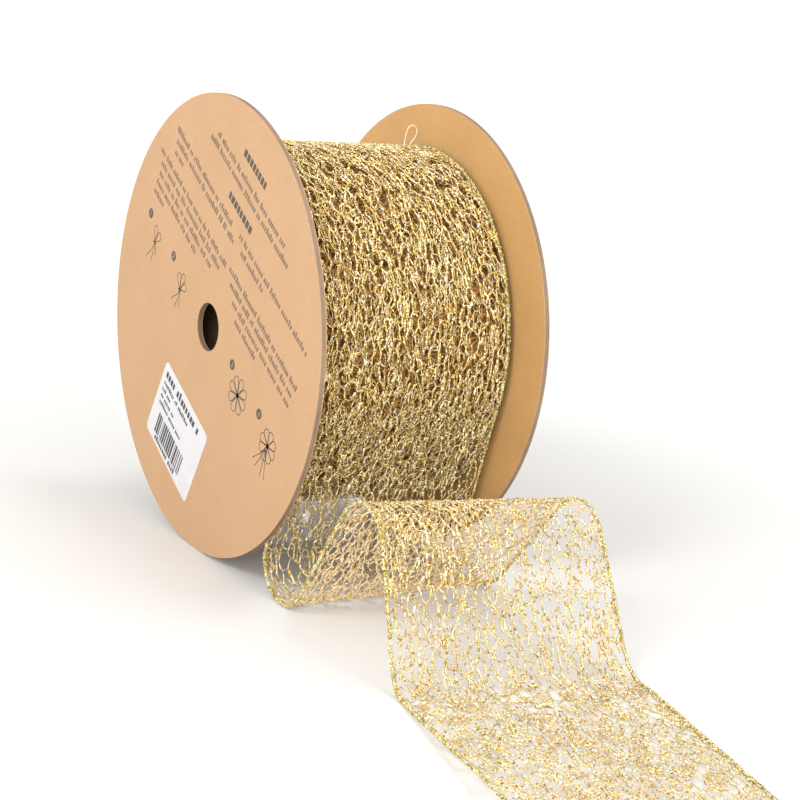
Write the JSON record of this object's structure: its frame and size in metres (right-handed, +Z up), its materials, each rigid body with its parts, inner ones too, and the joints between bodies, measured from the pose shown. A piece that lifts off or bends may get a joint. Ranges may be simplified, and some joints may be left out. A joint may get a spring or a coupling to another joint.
{
  "type": "ribbon spool",
  "caption": "Round board-flanged ribbon spool on a paper core, wound with wide wire-edged mesh ribbon whose free end waves out across the floor.",
  "frame": {"origin": "on the spindle axis, midway between the two flanges", "axes": "+Y along the spindle axis from the printed flange to the plain one, +Z up, the free end of the ribbon paid out towards +X; floor 75 mm below the origin"},
  "size_m": [0.3323, 0.1062, 0.15],
  "materials": {
    "greyboard": "matte",
    "kraft_inside": "matte",
    "kraft_printed": "matte",
    "kraft_outside": "matte",
    "core_paper": "matte",
    "hot_melt": "satin",
    "paper_tape": "matte",
    "gold_mesh": "satin",
    "gold_cord": "satin",
    "edge_wire": "satin",
    "label_paper": "satin",
    "clear_film": "gloss"
  },
  "bodies": {
    "ribbon_tail": {"tail_web": "gold_mesh", "tail_front_binding": "gold_cord", "tail_rear_binding": "gold_cord", "tail_front_wire": "edge_wire", "tail_rear_wire": "edge_wire", "clear_tape": "clear_film"},
    "spool": {"front_flange_board": "greyboard", "front_inner_liner": "kraft_inside", "front_outer_liner": "kraft_printed", "rear_flange_board": "greyboard", "rear_inner_liner": "kraft_inside", "rear_outer_liner": "kraft_outside", "core_tube": "core_paper", "front_glue_bead": "hot_melt", "rear_glue_bead": "hot_melt", "start_tape": "paper_tape", "wound_web": "gold_mesh", "wound_front_binding": "gold_cord", "wound_rear_binding": "gold_cord", "label_sticker": "label_paper"},
    "ribbon_end": {"end_web": "gold_mesh", "end_front_binding": "gold_cord", "end_rear_binding": "gold_cord", "end_front_wire": "edge_wire", "end_rear_wire": "edge_wire"}
  },
  "joints": [
    {"name": "spool_spin", "type": "hinge", "parent": "ribbon_tail", "child": "spool", "pos_m": [0, 0, 0], "axis": [0, 1, 0], "continuous": true},
    {"name": "tail_lift", "type": "hinge", "parent": "ribbon_tail", "child": "ribbon_end", "pos_m": [0.14512, -0.00594, -0.07437], "axis": [-0.1688, -0.9857, 0.0007], "range_deg": [0, 60]}
  ]
}
